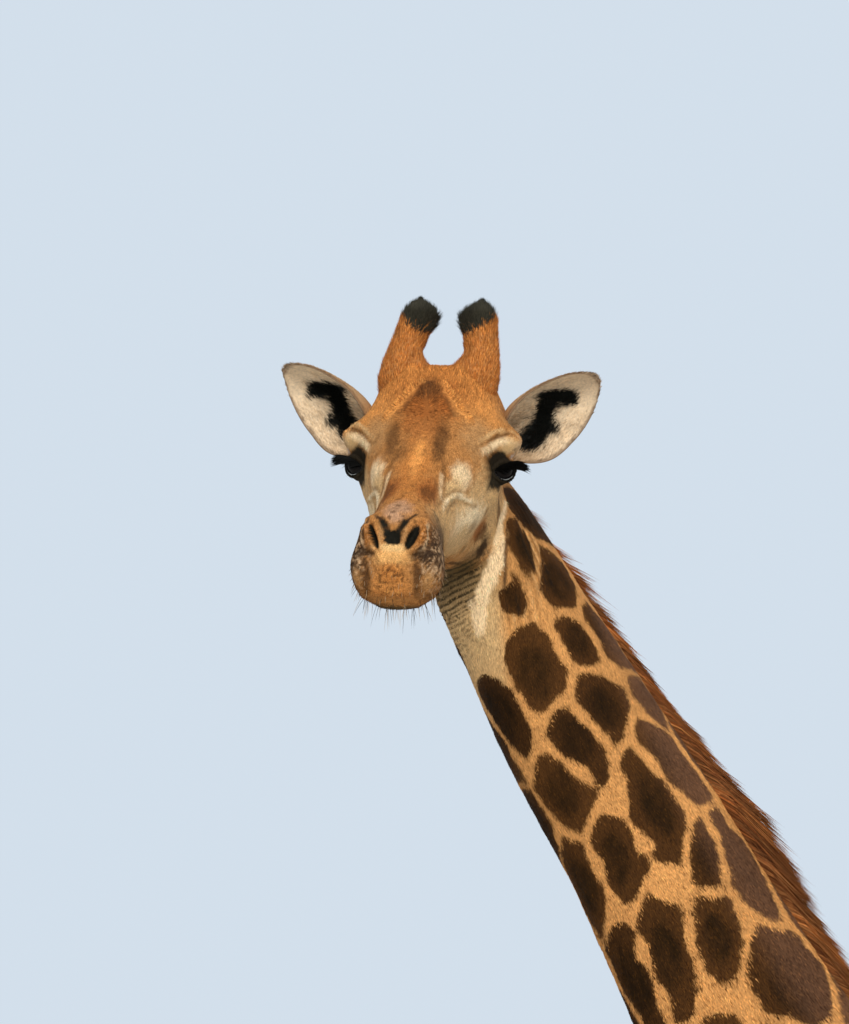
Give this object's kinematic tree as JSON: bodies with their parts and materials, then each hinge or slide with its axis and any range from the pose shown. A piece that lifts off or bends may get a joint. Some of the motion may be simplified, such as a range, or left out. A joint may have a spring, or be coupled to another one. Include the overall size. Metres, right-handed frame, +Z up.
{
  "type": "giraffe museum model",
  "caption": "Life-size standing giraffe with its head turned to its left, tufted horns, patched coat, upright mane, cloven hooves and a hanging tufted tail.",
  "frame": {"origin": "the middle of the model's bounding box, on the floor under the hooves", "axes": "+Z up; the animal walks towards -X, its left side is towards -Y, and its turned head looks along -Y"},
  "size_m": [2.8106, 0.8924, 4.3575],
  "materials": {
    "body_coat": "short flat coat, golden tan with dark-brown patches",
    "leg_coat": "short flat coat, pale tan with brown patches",
    "face_coat": "short flat coat, rust orange",
    "ear_skin": "thin skin with short pale hair",
    "horn_coat": "skin-covered horn with rust hair and a black tuft",
    "mane_hair": "stiff upright hair, rust brown",
    "tail_hair": "long coarse black hair",
    "eye": "wet dark-brown eye",
    "hoof_horn": "dull grey-brown horn"
  },
  "bodies": {
    "root": {"ear_left": "ear_skin", "ear_right": "ear_skin", "eye_left": "eye", "eye_right": "eye", "foreleg_left_lower": "leg_coat", "foreleg_left_upper": "leg_coat", "foreleg_right_lower": "leg_coat", "foreleg_right_upper": "leg_coat", "head": "face_coat", "hindleg_left_lower": "leg_coat", "hindleg_left_upper": "leg_coat", "hindleg_right_lower": "leg_coat", "hindleg_right_upper": "leg_coat", "hoof_fore_left": "hoof_horn", "hoof_fore_right": "hoof_horn", "hoof_hind_left": "hoof_horn", "hoof_hind_right": "hoof_horn", "mane": "mane_hair", "neck_lower": "body_coat", "neck_middle": "body_coat", "neck_upper": "body_coat", "ossicone_left": "horn_coat", "ossicone_right": "horn_coat", "tail": "body_coat", "tail_tuft": "tail_hair", "trunk": "body_coat"}
  },
  "joints": []
}
